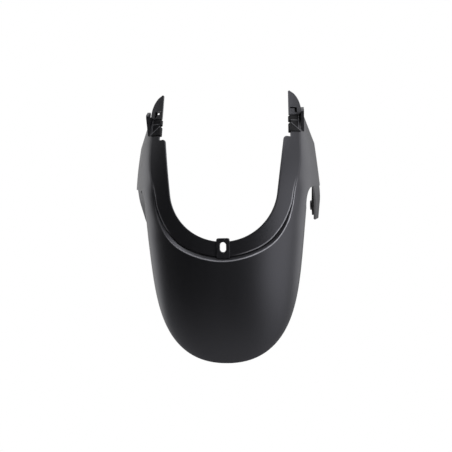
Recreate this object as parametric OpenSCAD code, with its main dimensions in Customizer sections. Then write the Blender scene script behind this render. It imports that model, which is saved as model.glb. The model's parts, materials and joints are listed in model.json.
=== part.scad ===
// Rear section of a scooter front mudguard: a spoon-shaped flap with two forward arms,
// a joggled lap flange round a U-shaped throat, a slotted centre tab and two side lugs.
// The part hangs as it is fitted: +Z up, the outer skin faces -Y, X = 0 is the middle plane.
// The origin is the centre of the slot, on the front face of the centre tab.

/* [Throat] */
// Radius of the round bottom of the U-shaped throat
throat_r = 58.4; // [54:0.1:61]
// Height of the lowest point of the throat above the slot centre
throat_z = 5.8; // [5.4:0.1:7.2]
// Splay of each arm from the vertical, in degrees
arm_splay = 7.3; // [5.5:0.1:8]
// Height of the flange's square top above the slot centre
flange_top_z = 119; // [112:0.5:122]
// Corner radius at the flange's top
flange_corner_r = 4; // [3:0.25:4.5]
// Radius of the inside corner between the flange's top and the neck
neck_fillet_r = 1.5; // [0.8:0.1:2]

/* [Lap flange] */
// Width of the flange and its step at the side of the throat
flange_side_w = 17.9; // [17:0.1:21]
// Width of the flange and its step at the bottom of the throat
flange_bottom_w = 21.3; // [20:0.1:24]
// Extra width of the flange half way round the bend
flange_swell = 2.7; // [1:0.1:4]
// Width of the neck's flat front, from its inner edge to the ridge where the side wall begins
neck_flat_w = 9.9; // [8.5:0.1:11]
// Length of arm over which the ridge swings out to that width
ridge_run = 50; // [42:1:56]
// Width of the sloping step between the flange and the outer skin
step_w = 4; // [3:0.25:5]
// Width of the fine groove along the foot of the step
groove_w = 0.9; // [0.6:0.1:1.2]
// Depth of the fine groove along the foot of the step
groove_d = 0.8; // [0.4:0.1:1.1]
// Sideways curvature of the flange: its depth at the throat radius
flange_camber = 5; // [3:0.25:7]

/* [Flap] */
// Wall thickness of the moulding
wall = 2.5; // [2:0.1:3]
// Width of the flap beyond the step, at the flap's widest place
lobe_side_w = 12.6; // [10:0.1:15]
// Height of the flap's widest place above the slot centre
lobe_wide_z = 40; // [36:0.5:44]
// Depth of the flap's tip below the slot centre
lobe_tip_z = 125.5; // [112:0.5:135]
// Narrowing of the flap towards its tip, in mm for each mm of height
lobe_taper = 0.1; // [0.02:0.01:0.12]
// Squareness of the flap's sides
lobe_square = 4.8; // [3:0.1:6]
// Roundness of the flap's tip, 2 is a circle's
lobe_round = 2.25; // [2:0.05:3]
// How far the skin stands in front of the flange at the middle
skin_lift = 4.2; // [3.4:0.2:5.2]
// How far the flap's tip lies behind its crown
lobe_sweep = 19.4; // [10:0.2:24]
// Depth of the flap's side rims behind the slot face
rim_y = 28.5; // [20:0.5:30]
// Squareness of the arch across the flap, 2 is an ellipse
arch_square = 2.4; // [2.1:0.1:2.8]
// Share of the arch that is used before the rim, which sets how far the rim turns back
arch_share = 0.97; // [0.93:0.01:0.98]

/* [Arms] */
// Radius of the arc that the arms follow round the wheel
arm_arc_r = 260; // [220:5:320]
// Height above the flange's square top from which the arms run straight
arm_straight_h = 6; // [4:0.5:8]
// Slope of the arms' side walls, in mm of depth for each mm of width
wall_slope = 1.42; // [1.1:0.02:1.6]
// Height at which the arched flap starts to turn into the arms' flat side walls
wall_from_z = 10; // [4:1:16]
// Height above which the side walls are flat
wall_full_z = 60; // [54:1:64]
// Width of the side wall at its lower corner
side_wall_w = 22.1; // [19:0.1:25]
// Height of the side walls' lower corner
arm_low_z = 66; // [64:0.5:70]
// How far the side wall draws in from its lower corner to its upper bend
side_draw_w = 5.2; // [4:0.1:6]
// Height of the upper bend above the lower corner
side_wall_h = 48; // [42:0.5:52]
// Width of the side wall at the top of the neck
neck_side_w = 5; // [4.4:0.1:5.8]
// Height of the neck above the flange's square top
neck_h = 28; // [26:0.5:31]
// Width of the flange's square top, from its inner corner to the neck
flange_lip_w = 7.45; // [7:0.05:9]

/* [Tongue and ear] */
// Length of the tongue's taper
tongue_taper_h = 25.5; // [22:0.5:29]
// Length of the tongue's straight part
tongue_straight_h = 4.5; // [3.5:0.25:5.5]
// Overlap of the tongue on the neck
tongue_lap_h = 2.5; // [1.5:0.25:3.5]
// How far the tongue's inner edge stands out from the neck's
tongue_over_w = 2.2; // [1.6:0.1:2.8]
// Width of the tongue
tongue_w = 14.4; // [13.6:0.1:14.8]
// How far the tongue stands in front of the neck
tongue_proud = 1.2; // [0.8:0.1:1.6]
// Distance of the tongue's L-shaped slot from the tongue's inner edge
latch_in_w = 1.8; // [1.4:0.1:2.2]
// Width of the L-shaped slot over both its legs
latch_w = 7.8; // [6.6:0.1:9]
// Width of the slot's upright leg
latch_leg_w = 2.6; // [1.8:0.1:3]
// Height of the slot's level leg
latch_leg_h = 1.6; // [1:0.1:2]
// Height of the slot over both its legs
latch_h = 6.8; // [5.6:0.1:8]
// Height of the slot above the tongue's lower end
latch_up_h = 2.7; // [2.2:0.1:3.4]
// Height of the ear above the top of the neck
ear_up_h = 7.5; // [6:0.25:9]
// Length of the ear below the top of the neck
ear_down_h = 21; // [18:0.5:24]
// How far the ear stands forward of the side wall at its lower end
ear_proud = 1.2; // [0.6:0.1:2]
// Width of the ear from front to back, at its lower end
ear_w = 6; // [5:0.25:8]
// How far the ear's belly stands forward of its lower end
ear_belly = 8.5; // [6:0.25:10]
// Thickness of the ear
ear_t = 2.6; // [2.2:0.1:2.8]

/* [Centre tab] */
// Width of the centre tab
tab_w = 14; // [12:0.5:17]
// Height of the centre tab's top above the slot centre
tab_top = 9.5; // [8.5:0.25:11]
// Depth of the centre tab's lower end below the slot centre
tab_low = 12; // [10:0.5:14]
// How far the centre tab stands in front of the flange
tab_proud = 1.8; // [1.4:0.1:2.2]
// Width of the slot, clear round an M6 screw
slot_w = 6.6; // [6.2:0.1:7]
// Length of the slot, end to end
slot_l = 10.5; // [9:0.25:12]

/* [Side lugs] */
// Height of the notch that parts the flap from the lug
notch_h = 22; // [19:0.5:25]
// Height of the side wall's lower corner above the notch's arched top
notch_step_h = 2; // [1.4:0.1:2.6]
// Width of the notch
notch_w = 8.2; // [7:0.1:9]
// How far the lug's lower end lies inside the side wall's lower corner
lug_end_inset = 2.2; // [1.4:0.1:3]
// Depth that the lug's lower end lies behind its root
lug_reach = 46; // [42:0.5:50]
// Drop of the lug's lower end below the side wall's lower corner
lug_drop = 35; // [31:0.5:38]
// How far the lug's strap starts inside the side wall's lower corner
lug_inset = 1.8; // [0.4:0.1:2.4]
// Width of the lug's strap at its root
lug_root_w = 6.2; // [5:0.1:9]
// Width of the lug's strap at its lower end
lug_tip_w = 4.5; // [4:0.1:6]
// Width of the web behind the strap
web_w = 11; // [9:0.5:15]
// Thickness of the web behind the strap
web_t = 2.4; // [2:0.1:2.8]
// How far the web's inner face stands inwards from the strap's inner edge
web_proud = 1.3; // [0.8:0.1:1.6]
// Diameter of the boss round the fixing hole
boss_d = 13; // [11:0.25:15]
// How far the boss stands inwards from the web
boss_l = 2; // [1:0.1:2.4]
// Radius of the fixing hole, clear round an M6 screw
hole_r = 3.3; // [3.1:0.05:3.6]
// Distance of the fixing hole up the lug from its lower end
hole_up = 17; // [15:0.5:20]
// Distance of the fixing hole behind the strap's front edge
hole_back = 7; // [6:0.25:8]

/* [Spring clips] */
// Sheet thickness of the spring clips
clip_t = 0.8; // [0.6:0.05:1]
// Outer bend radius of the spring clips
clip_bend_r = 1.8; // [1.2:0.1:2]
// How far the clip's loops stand out from the neck's inner edge
clip_out = 1.3; // [0.8:0.1:1.6]
// Clearance between a clip and the neck
clip_gap = 0.2; // [0.1:0.05:0.3]
// Clearance between the clip's upper edge and the tongue
clip_top_gap = 1; // [0.8:0.1:1.6]
// Height of the clip's lower edge above the flange's square top
clip_up_h = 6; // [4.5:0.25:7.5]
// Width of the clip's front leaf
clip_w = 11.2; // [9:0.2:12]
// Width of the clip's back leaf
clip_back_w = 7; // [6:0.25:8]
// Height of the notch that parts the clip's two loops
clip_notch_h = 3; // [2:0.25:4]
// Height of the middle of that notch above the clip's lower edge
clip_notch_up = 11; // [9.5:0.25:12.5]
// Height of the back leaf's upright tab above the rest of the clip, behind the tongue's slot
clip_tab_h = 11.5; // [10:0.5:13]
// Width of that tab
clip_tab_w = 4.9; // [4:0.1:5.5]
// Height of the front leaf's sloping edge above the clip's lower edge, at the neck
clip_slope_up = 12.5; // [11:0.25:14]
// Fall of that sloping edge, in mm for each mm of width
clip_fall = 0.9; // [0.6:0.05:1.1]

/* [Hidden] */
$fn = 48;
flange_y = tab_proud;
throat_c = throat_z + throat_r;
bend_end = 90 - arm_splay;
arm_n = [cos(arm_splay), -sin(arm_splay)];
arm_t = [sin(arm_splay), cos(arm_splay)];
lobe_l = lobe_wide_z + lobe_tip_z;
lobe_half_w = throat_r + flange_side_w + lobe_side_w;
arm_straight_z = flange_top_z + arm_straight_h;
neck_in_w = (throat_r + (flange_top_z - throat_c) * arm_t[0]) / arm_n[0] + flange_lip_w;
neck_top_z = flange_top_z + neck_h;
ridge_w = neck_in_w + neck_flat_w;
neck_out_w = ridge_w + neck_side_w;
arm_low_w = ridge_w + side_wall_w;
arm_high_w = arm_low_w - side_draw_w;
arm_high_z = arm_low_z + side_wall_h;
notch_top_z = arm_low_z - notch_step_h;
notch_low_z = notch_top_z - notch_h;
tip_y = flange_y - skin_lift + lobe_sweep;
bend_steps = 24;
skin_steps = 11;
flange_steps = 4;
nudge = 0.02;

// An arm's own coordinates: the length along it from the bend's end, and the distance out from the edge
function arm_length(x, z) = [x, z - throat_c] * arm_t;
function arm_out(x, z) = [x, z - throat_c] * arm_n - throat_r;
function ease(t) = let (c = min(1, max(0, t))) c * c * (3 - 2 * c);

// Depth of the flange's front face: the arc round the wheel, straight at the top, with a sideways camber
function wheel_arc(z) = let (h = max(0, min(z, arm_straight_z) - throat_z))
    h * h / (2 * arm_arc_r) + max(0, z - arm_straight_z) * (arm_straight_z - throat_z) / arm_arc_r;
function flange_depth(x, z) = flange_y + wheel_arc(z) + flange_camber * pow(x / throat_r, 3);

// Half width of the flap: a superellipse on sides that taper towards the tip
function lobe_w(z) = let (drop = max(0, lobe_wide_z - z))
    (lobe_half_w - lobe_taper * drop) * pow(max(0, 1 - pow(drop / lobe_l, lobe_square)), 1 / lobe_round);

// Depth of the flap: a crown line that sweeps back, rims that ease to it at the tip, and an arch across
function crown_y(z) = flange_y - skin_lift + lobe_sweep * pow(min(0, z) / lobe_tip_z, 2);
function rim_depth(z) = rim_y - (rim_y - tip_y) * pow(max(0, -z) / lobe_tip_z, 2.6);
function arch_rise(r) = 1 - pow(max(0, 1 - pow(arch_share * r, arch_square)), 1 / arch_square);
function flap_depth(x, z) = crown_y(z)
    + (rim_depth(z) - crown_y(z)) * arch_rise(min(1, x / max(nudge, lobe_w(z)))) / arch_rise(1);

// Distance from the throat's edge to the ridge or to the top of the step
function bend_ridge(a) = flange_side_w + (flange_bottom_w - flange_side_w) * pow(cos(a), 2)
    + flange_swell * pow(sin(2 * a), 2);
function arm_ridge(l) = let (w = bend_ridge(bend_end))
    w + ((ridge_w - l * arm_t[0]) / arm_n[0] - throat_r - w) * ease(l / ridge_run);

// A station is a line out from the throat's edge: its start, its direction and the distance to its ridge
function bend_station(a) = [[0, throat_c], [sin(a), -cos(a)], bend_ridge(a)];
function arm_station(l) = [[0, throat_c] + l * arm_t, arm_n, arm_ridge(l)];
function station_at(x, z) = let (a = atan2(x, throat_c - z))
    a < bend_end ? bend_station(a) : arm_station(arm_length(x, z));
function on_station(s, d) = s[0] + (throat_r + d) * s[1];

// Depth of the outer skin: the arched flap, which turns into a flat wall that rises from the ridge
function skin_depth(x, z) = let (
    s = station_at(x, z),
    d = ([x, z] - s[0]) * s[1] - throat_r,
    ridge = on_station(s, s[2]),
    flat = flange_depth(ridge[0], ridge[1]) + wall_slope * (d - s[2])
) flap_depth(x, z) + (flat - flap_depth(x, z)) * ease((z - wall_from_z) / (wall_full_z - wall_from_z));

// Half width at the part's edge: the flap, then the arched notch, then the side wall's short lower edge
function edge_w(z) = let (rise = (z - notch_low_z) / (notch_top_z - notch_low_z))
    rise <= 0 ? lobe_w(z) : rise < 1 ? lobe_w(z) + notch_w * (1 - sqrt(1 - rise * rise)) :
    lobe_w(z) + notch_w + (arm_low_w - lobe_half_w - notch_w) * (z - notch_top_z) / (arm_low_z - notch_top_z);

// Distance from the throat's edge to the part's edge: by halving up to the wall's corner, then by two lines
function past_edge(p) = p[1] <= -lobe_tip_z || p[0] > edge_w(p[1]);
function halve(s, near, far, n) = n == 0 ? near : let (mid = (near + far) / 2)
    past_edge(on_station(s, mid)) ? halve(s, near, mid, n - 1) : halve(s, mid, far, n - 1);
function edge_reach(s) = halve(s, s[2], lobe_l + throat_c, 24);
low_l = arm_length(arm_low_w, arm_low_z);
high_l = arm_length(arm_high_w, arm_high_z);
end_l = arm_length(neck_out_w, neck_top_z);
low_d = arm_out(arm_low_w, arm_low_z);
high_d = arm_out(arm_high_w, arm_high_z);
end_d = arm_out(neck_out_w, neck_top_z);
function arm_reach(l) =
    l < low_l - nudge ? edge_reach(arm_station(l)) :
    l < high_l ? low_d + (high_d - low_d) * (l - low_l) / (high_l - low_l) :
    high_d + (end_d - high_d) * (l - high_l) / (end_l - high_l);

// Distance from the throat's straight edge to the arm's real inner edge: round corner, square top, neck
top_l = arm_length(neck_in_w, flange_top_z);
function neck_d(l) = (neck_in_w - l * arm_t[0]) / arm_n[0] - throat_r;
function arm_start(l) = let (c = l - top_l + flange_corner_r, f = l - top_l)
    c <= 0 ? 0 :
    f <= 0 ? flange_corner_r - sqrt(max(0, pow(flange_corner_r, 2) - c * c)) :
    neck_d(l) - neck_fillet_r + sqrt(max(0, pow(neck_fillet_r, 2) - pow(max(0, neck_fillet_r - f), 2)));

// Where the stations lie along the arm: the notch, the flange, its corner, the fillet and the neck
arm_stops = concat(
    [for (k = [1:8]) low_l * sin(11.25 * k)],
    [for (k = [1:7]) low_l + (top_l - flange_corner_r - low_l) * k / 7],
    [for (k = [1:4]) top_l - flange_corner_r * (1 - sin(22.5 * k))],
    [for (k = [0:3]) top_l + nudge + neck_fillet_r * (1 - cos(30 * k))],
    [for (k = [1:6]) top_l + nudge + neck_fillet_r + (end_l - top_l - nudge - neck_fillet_r) * k / 6]);

// One station's row: front points and back points, from the throat's edge over the flange and step to the rim
function slope_x(f, x, z) = x < 1 ? 0 : (f == 0 ? flange_depth(x, z) - flange_depth(x - nudge, z)
    : skin_depth(x, z) - skin_depth(x - nudge, z)) / nudge;
function slope_z(f, x, z) = (f == 0 ? flange_depth(x, z + nudge) - flange_depth(x, z)
    : skin_depth(x, z + nudge) - skin_depth(x, z)) / nudge;
function inward(f, p) = let (n = [-slope_x(f, p[0], p[2]), 1, -slope_z(f, p[0], p[2])]) n / norm(n);
function behind(f, p) = wall * inward(f, p);
function flange_point(p) = [p[0], flange_depth(p[0], p[1]), p[1]];
function skin_point(p) = [p[0], skin_depth(p[0], p[1]), p[1]];
function row(s, start, reach) = let (
    w = s[2],
    foot_w = w - step_w,
    foot = flange_point(on_station(s, foot_w)),
    crest = skin_point(on_station(s, w)),
    flush = ease((crest[2] - wall_from_z) / (wall_full_z - wall_from_z)),
    flange = [for (k = [0:flange_steps])
        flange_point(on_station(s, start + (foot_w - groove_w - start) * k / flange_steps))],
    skin = [for (k = [1:skin_steps]) skin_point(on_station(s, w + (reach - w) * sin(90 * k / skin_steps)))],
    groove = foot + [0, groove_d * (1 - flush), 0],
    brow = groove + (crest - groove) * 0.86 - [0, 0.35 * (1 - flush), 0],
    crest_back = crest + behind(1, crest),
    foot_back = foot + behind(0, foot)
) [
    concat(flange, [groove, brow, crest], skin),
    concat([for (p = flange) p + behind(0, p)],
        [foot_back, foot_back + (crest_back - foot_back) * 0.8, crest_back],
        [for (p = skin) p + behind(1, p)])
];
half_rows = concat(
    [for (k = [0:bend_steps]) let (a = bend_end * k / bend_steps)
        row(bend_station(a), 0, edge_reach(bend_station(a)))],
    [for (l = arm_stops) row(arm_station(l), arm_start(l), arm_reach(l))]);
function flip(points) = [for (p = points) [-p[0], p[1], p[2]]];
rows = concat(
    [for (i = [len(half_rows) - 1:-1:1]) [flip(half_rows[i][0]), flip(half_rows[i][1])]],
    half_rows);

// A closed sheet from rows of front and back points
module sheet(rows) {
    n = len(rows);
    m = len(rows[0][0]);
    points = concat([for (r = rows) each r[0]], [for (r = rows) each r[1]]);
    function front(i, j) = i * m + j;
    function back(i, j) = (n + i) * m + j;
    faces = concat(
        [for (i = [0:n - 2], j = [0:m - 2]) each [
            [front(i, j), front(i + 1, j), front(i + 1, j + 1)],
            [front(i, j), front(i + 1, j + 1), front(i, j + 1)],
            [back(i, j), back(i + 1, j + 1), back(i + 1, j)],
            [back(i, j), back(i, j + 1), back(i + 1, j + 1)]]],
        [for (i = [0:n - 2]) each [
            [front(i, 0), back(i, 0), back(i + 1, 0)],
            [front(i, 0), back(i + 1, 0), front(i + 1, 0)],
            [front(i, m - 1), back(i + 1, m - 1), back(i, m - 1)],
            [front(i, m - 1), front(i + 1, m - 1), back(i + 1, m - 1)]]],
        [for (j = [0:m - 2]) each [
            [front(0, j), back(0, j + 1), back(0, j)],
            [front(0, j), front(0, j + 1), back(0, j + 1)],
            [front(n - 1, j), back(n - 1, j), back(n - 1, j + 1)],
            [front(n - 1, j), back(n - 1, j + 1), front(n - 1, j + 1)]]]);
    polyhedron(points, faces, convexity = 6);
}

tongue_in_w = neck_in_w - tongue_over_w;
tongue_low_z = neck_top_z - tongue_lap_h;
tongue_wide_z = tongue_low_z + tongue_straight_h;
tongue_top_z = tongue_wide_z + tongue_taper_h;
latch_x = tongue_in_w + latch_in_w;
latch_z = tongue_low_z + latch_up_h;

// Tongue: a pointed plate on the top of the neck, with a bevel at its lower end and an L-shaped slot that
// frees a latch
tongue_stops = concat([tongue_low_z, tongue_wide_z],
    [for (k = [1:8]) tongue_wide_z + (tongue_top_z - tongue_wide_z) * sin(10.3 * k)]);
function tongue_reach(z) = tongue_w
    * pow(max(0.002, 1 - pow(max(0, z - tongue_wide_z) / (tongue_top_z - tongue_wide_z), 2)), 0.58);
function tongue_row(z) = let (
    lift = z > tongue_low_z ? tongue_proud : nudge * 10,
    line = [for (k = [0:4]) flange_point([tongue_in_w + tongue_reach(z) * k / 4, z])]
) [[for (p = line) p - [0, lift, 0]], [for (p = line) p + [0, wall + nudge * 10, 0]]];
module tongue() {
    difference() {
        sheet([for (z = tongue_stops) tongue_row(z)]);
        translate([latch_x, 0, latch_z + latch_h - latch_leg_h])
            cube([latch_w, 2 * tongue_top_z, latch_leg_h]);
        translate([latch_x + latch_w - latch_leg_w, 0, latch_z])
            cube([latch_leg_w, 2 * tongue_top_z, latch_h]);
    }
}

// Ear: a thin upright fin on the outer edge of the neck, with a round top and a belly to the front
ear_top_z = neck_top_z + ear_up_h;
ear_low_z = neck_top_z - ear_down_h;
ear_y = skin_depth(neck_out_w, ear_low_z) - ear_proud;
module ear() {
    translate([neck_out_w - ear_t, 0, 0]) rotate([90, 0, 90]) linear_extrude(ear_t) {
        belly_r = 0.6 * ear_w;
        belly = [ear_y - ear_belly + belly_r, neck_top_z - 1];
        hull() {
            translate([ear_y + ear_w / 6, ear_top_z - ear_w / 3]) circle(r = ear_w / 3);
            translate(belly) circle(r = belly_r);
        }
        hull() {
            translate(belly) circle(r = belly_r);
            translate([ear_y, ear_low_z]) square([ear_w, 1]);
        }
        polygon([[ear_y, ear_low_z], [ear_y + ear_w / 2, ear_top_z - 2 * ear_w],
            [skin_depth(neck_out_w, neck_top_z - ear_w), neck_top_z - ear_w], [ear_y + ear_w, ear_low_z]]);
    }
}

// Side lug: a strap that leaves the side wall's lower corner and twists back, with a web and a boss behind it
lug_end_w = arm_low_w - lug_end_inset;
lug_end_z = arm_low_z - lug_drop;
lug_out_x = arm_low_w - lug_inset;
lug_in_x = lug_out_x - lug_root_w;
lug_out_z = arm_low_z + 4;
lug_in_z = notch_top_z + 1.5;
lug_root_y = skin_depth(lug_out_x, lug_out_z);
lug_end_y = lug_root_y + lug_reach;
function bow(a, b, c, t) = a * pow(1 - t, 2) + b * 2 * t * (1 - t) + c * pow(t, 2);
function lug_outer(t) = bow([lug_out_x, lug_root_y + 0.3, lug_out_z],
    [lug_out_x, lug_root_y + lug_reach / 3, arm_low_z - 6], [lug_end_w, lug_end_y, lug_end_z], t);
function lug_inner(t) = bow([lug_in_x, skin_depth(lug_in_x, lug_in_z) + 0.3, lug_in_z],
    [lug_in_x + 0.6, lug_root_y + lug_reach / 5, arm_low_z - 8],
    [lug_end_w - lug_tip_w, lug_end_y, lug_end_z - 1.5], t);
function lug_row(t) = let (
    a = lug_inner(t),
    b = lug_outer(t),
    run = lug_outer(t + 0.01) + lug_inner(t + 0.01) - lug_outer(t - 0.01) - lug_inner(t - 0.01),
    n = cross(run, b - a),
    line = [for (k = [0:3]) a + (b - a) * k / 3]
) [line, [for (p = line) p + wall * n / norm(n)]];
function web_out(t) = let (run = lug_inner(t + 0.01) - lug_inner(t - 0.01))
    [0, -run[2], run[1]] / norm([run[1], run[2]]);
function web_row(t) = let (
    edge = lug_inner(t) - [web_proud, 0, 0],
    line = [for (k = [0:2]) edge + (web_w * k / 2 - wall / 3 * (1 - k / 2)) * web_out(t)]
) [line, [for (p = line) p + [web_t, 0, 0]]];
function lug_up(distance) = 1 - 0.1 * distance / norm(lug_inner(1) - lug_inner(0.9));
hole_p = lug_inner(lug_up(hole_up)) + hole_back * web_out(lug_up(hole_up));
boss_x = hole_p[0] - web_proud - boss_l;
bore_l = boss_l + web_t + 2 * nudge * 10;
module lug() {
    sheet([for (k = [0:10]) lug_row(k / 10)]);
    sheet([for (k = [0:8]) web_row(lug_up(hole_up - boss_d / 2) * k / 8)]);
    translate([boss_x, hole_p[1], hole_p[2]]) rotate([0, 90, 0]) cylinder(d = boss_d, h = bore_l);
}
module lug_hole() {
    translate([boss_x - 1, hole_p[1], hole_p[2]]) rotate([0, 90, 0]) cylinder(r = hole_r, h = bore_l + 2);
}

// Centre tab: a flat pad on the flange with an upright slot
module tab() {
    translate([-tab_w / 2, 0, -tab_low]) cube([tab_w, tab_proud + wall, tab_low + tab_top]);
}
module tab_slot() {
    run = slot_l - slot_w;
    for (side = [-1, 1]) translate([0, -wall, side * run / 2]) rotate([-90, 0, 0])
        cylinder(d = slot_w, h = 4 * wall);
    translate([-slot_w / 2, -wall, -run / 2]) cube([slot_w, 4 * wall, run]);
}

module mudguard_shell() {
    color([0.10, 0.10, 0.11]) difference() {
        union() {
            sheet(rows);
            tab();
            for (side = [0, 1]) mirror([side, 0, 0]) {
                tongue();
                ear();
                lug();
            }
        }
        tab_slot();
        for (side = [0, 1]) mirror([side, 0, 0]) lug_hole();
    }
}

clip_low_z = flange_top_z + clip_up_h;
clip_top_z = tongue_low_z - clip_top_gap;
clip_notch_z = clip_low_z + clip_notch_up;
clip_slope_z = clip_low_z + clip_slope_up;
clip_end_z = clip_top_z + clip_tab_h;

// Spring clip: sheet folded round the neck's inner edge, with two loops, a front leaf that is cut on a slope
// and a back leaf with an upright tab that shows in the tongue's slot
function clip_at(s, v, z) = let (p = flange_point([neck_in_w + s, z])) p + v * inward(0, p);
function clip_line(z, out) = let (
    front = -clip_gap - out,
    back = wall + clip_gap + out,
    r = clip_bend_r - clip_t + out,
    bend = r - clip_out - out
) concat(
    [for (k = [3:-1:0]) clip_at(clip_back_w * k / 3, back, z)],
    [for (k = [1:3]) clip_at(bend - r * sin(30 * k), back - r + r * cos(30 * k), z)],
    [for (k = [3:-1:1]) clip_at(bend - r * sin(30 * k), front + r - r * cos(30 * k), z)],
    [for (k = [0:4]) clip_at(clip_w * k / 4, front, z)]);
module clip() {
    color([0.05, 0.05, 0.055]) difference() {
        sheet([for (k = [0:8]) let (z = clip_low_z + (clip_end_z - clip_low_z) * k / 8)
            [clip_line(z, clip_t), clip_line(z, 0)]]);
        translate([neck_in_w - 2 * wall, 0, clip_top_z])
            cube([2 * wall + clip_back_w - clip_tab_w, 2 * tongue_top_z, 2 * clip_tab_h]);
        intersection() {
            translate([neck_in_w, 0, clip_top_z]) cube([2 * clip_w, 2 * tongue_top_z, 2 * clip_tab_h]);
            clip_front();
        }
        translate([neck_in_w - 2 * wall, 0, clip_notch_z - clip_notch_h / 2])
            cube([2 * wall - clip_gap, 2 * tongue_top_z, clip_notch_h]);
        intersection() {
            rotate([90, 0, 0]) linear_extrude(2 * tongue_top_z, center = true)
                polygon([[neck_in_w, clip_low_z - 1], [neck_in_w, clip_slope_z],
                    [neck_in_w + clip_w + 1, clip_slope_z - clip_fall * (clip_w + 1)],
                    [neck_in_w + clip_w + 1, clip_low_z - 1]]);
            clip_front();
        }
    }
}
// The space in front of the neck's middle surface, which holds only the clip's front leaf
module clip_front() {
    sheet([for (k = [0:1]) let (z = clip_low_z - 2 + (clip_end_z - clip_low_z + 4) * k) [
        [for (s = [-3 * wall, clip_w + 2]) [neck_in_w + s, 0, z]],
        [for (s = [-3 * wall, clip_w + 2]) [neck_in_w + s, flange_depth(neck_in_w + s, z) + wall / 2, z]]]]);
}
module clip_left() { mirror([1, 0, 0]) clip(); }
module clip_right() { clip(); }

mudguard_shell();
clip_left();
clip_right();
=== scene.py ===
# Rear section of a scooter front mudguard: one black polypropylene moulding and the two spring clips that
# grip its arms, hung in front of a white studio backdrop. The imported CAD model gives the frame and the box.
import json

import bpy
import numpy as np
from mathutils import Matrix, Vector


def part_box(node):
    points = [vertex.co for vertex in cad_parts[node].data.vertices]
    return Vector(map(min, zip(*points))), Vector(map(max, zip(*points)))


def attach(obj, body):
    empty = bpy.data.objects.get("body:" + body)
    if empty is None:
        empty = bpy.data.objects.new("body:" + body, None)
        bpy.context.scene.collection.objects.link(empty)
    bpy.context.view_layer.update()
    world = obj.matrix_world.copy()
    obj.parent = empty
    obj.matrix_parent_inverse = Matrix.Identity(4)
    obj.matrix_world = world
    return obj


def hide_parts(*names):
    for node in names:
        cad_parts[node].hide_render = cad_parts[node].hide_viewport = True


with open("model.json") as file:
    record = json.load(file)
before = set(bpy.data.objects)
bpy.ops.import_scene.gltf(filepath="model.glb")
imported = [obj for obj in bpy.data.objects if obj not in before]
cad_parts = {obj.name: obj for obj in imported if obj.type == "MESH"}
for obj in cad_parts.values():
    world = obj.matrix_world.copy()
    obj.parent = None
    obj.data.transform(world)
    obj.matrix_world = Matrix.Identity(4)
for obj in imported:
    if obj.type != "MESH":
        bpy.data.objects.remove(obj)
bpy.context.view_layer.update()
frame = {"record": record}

# Skin of the moulding: an injection-moulded wall of polypropylene, 2.5 mm thick. A flat lap flange runs
# round the U-shaped throat, a step rises from it to the arched flap, and above the flap the flange's ridge
# turns into the arms' side walls. Lengths are in mm, and are given for the right half.
shell_low, shell_high = 1000 * np.array(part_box("mudguard_shell"))
wall = 2.5
edge_r = 0.6
throat_r = 58.4
throat_z = 5.8
throat_c = throat_z + throat_r
splay = np.radians(7.3)
bend_end = np.pi / 2 - splay
arm_arc_r = 260
arm_straight_z = 125
flange_y = 1.8
flange_camber = 5
flange_side_w = 17.9
flange_more_w = 2.7
flange_swell = 2.9
flange_top_z = 119
flange_corner_r = 2.8
flange_lip_w = 7.45
neck_fillet_r = 1.5
neck_top_z = flange_top_z + 28
neck_in_w = (throat_r + (flange_top_z - throat_c) * np.sin(splay)) / np.cos(splay) + flange_lip_w
ridge_w = neck_in_w + 9.9
ridge_run = 50
ridge_r = 1.6
neck_out_w = ridge_w + 5
arm_low_w = shell_high[0]
arm_low_z = 66
arm_high_w = arm_low_w - 5.2
arm_high_z = arm_low_z + 48
step_w = 4
step_full_z = 12
step_top_w = 0.6
step_top_z = 46
step_straight = 0.65
groove_w = 1.1
groove_d = 1.4
lip_h = 0.25
lip_half_w = 0.45
highlight_half_w = 0.4
trim_full_z = 45
trim_end_z = 77
lobe_half_w = 88.9
lobe_wide_z = 40
lobe_tip_z = -shell_low[2]
lobe_taper = 0.1
lobe_square = 4.8
lobe_round = 2.25
lobe_sweep = 19.4
crown_y = -2.4
rim_y = 28.5
tip_y = crown_y + lobe_sweep
arch_square = 2.4
arch_share = 0.97
notch_low_z = 42
notch_top_z = 64
notch_w = 8.2
wall_slope = 1.42
wall_from_z = 10
wall_full_z = 60
wall_crown = 0.6
low_crown = 0.5
low_crown_z = 80
low_crown_h = 25
tab_open_w = 5.2
tab_open_z = -10


def ease(t):
    """Smooth step from 0 to 1: 3t² - 2t³, with t held between 0 and 1."""
    t = np.clip(t, 0, 1)
    return t * t * (3 - 2 * t)


def flange_depth(x, z):
    """Depth of the flange: an arc of 260 mm round the wheel that runs straight above z = 125, plus a
    sideways camber that grows with the cube of x."""
    rise = np.maximum(0, np.minimum(z, arm_straight_z) - throat_z)
    straight = np.maximum(0, z - arm_straight_z) * (arm_straight_z - throat_z) / arm_arc_r
    return flange_y + rise ** 2 / (2 * arm_arc_r) + straight + flange_camber * (x / throat_r) ** 3


def lobe_w(z):
    """Half width of the flap: a superellipse of powers 4.8 and 2.25 on sides that taper by a tenth."""
    drop = np.maximum(0, lobe_wide_z - z)
    rest = np.maximum(0, 1 - (drop / (lobe_wide_z + lobe_tip_z)) ** lobe_square)
    return (lobe_half_w - lobe_taper * drop) * rest ** (1 / lobe_round)


def flap_depth(x, z):
    """Depth of the flap: a crown that sweeps back with the square of the height below the slot, and an arch
    across it, a superellipse of power 2.4, out to a rim that comes forward with the power 2.6 of that
    height."""
    below = np.maximum(0, -z) / lobe_tip_z
    crown = crown_y + lobe_sweep * below ** 2
    rim = rim_y - (rim_y - tip_y) * below ** 2.6
    across = arch_share * np.clip(x / np.maximum(0.02, lobe_w(z)), 0, 1)
    rise, full_rise = [1 - (1 - share ** arch_square) ** (1 / arch_square)
                       for share in (across, arch_share)]
    return crown + (rim - crown) * rise / full_rise


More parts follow.
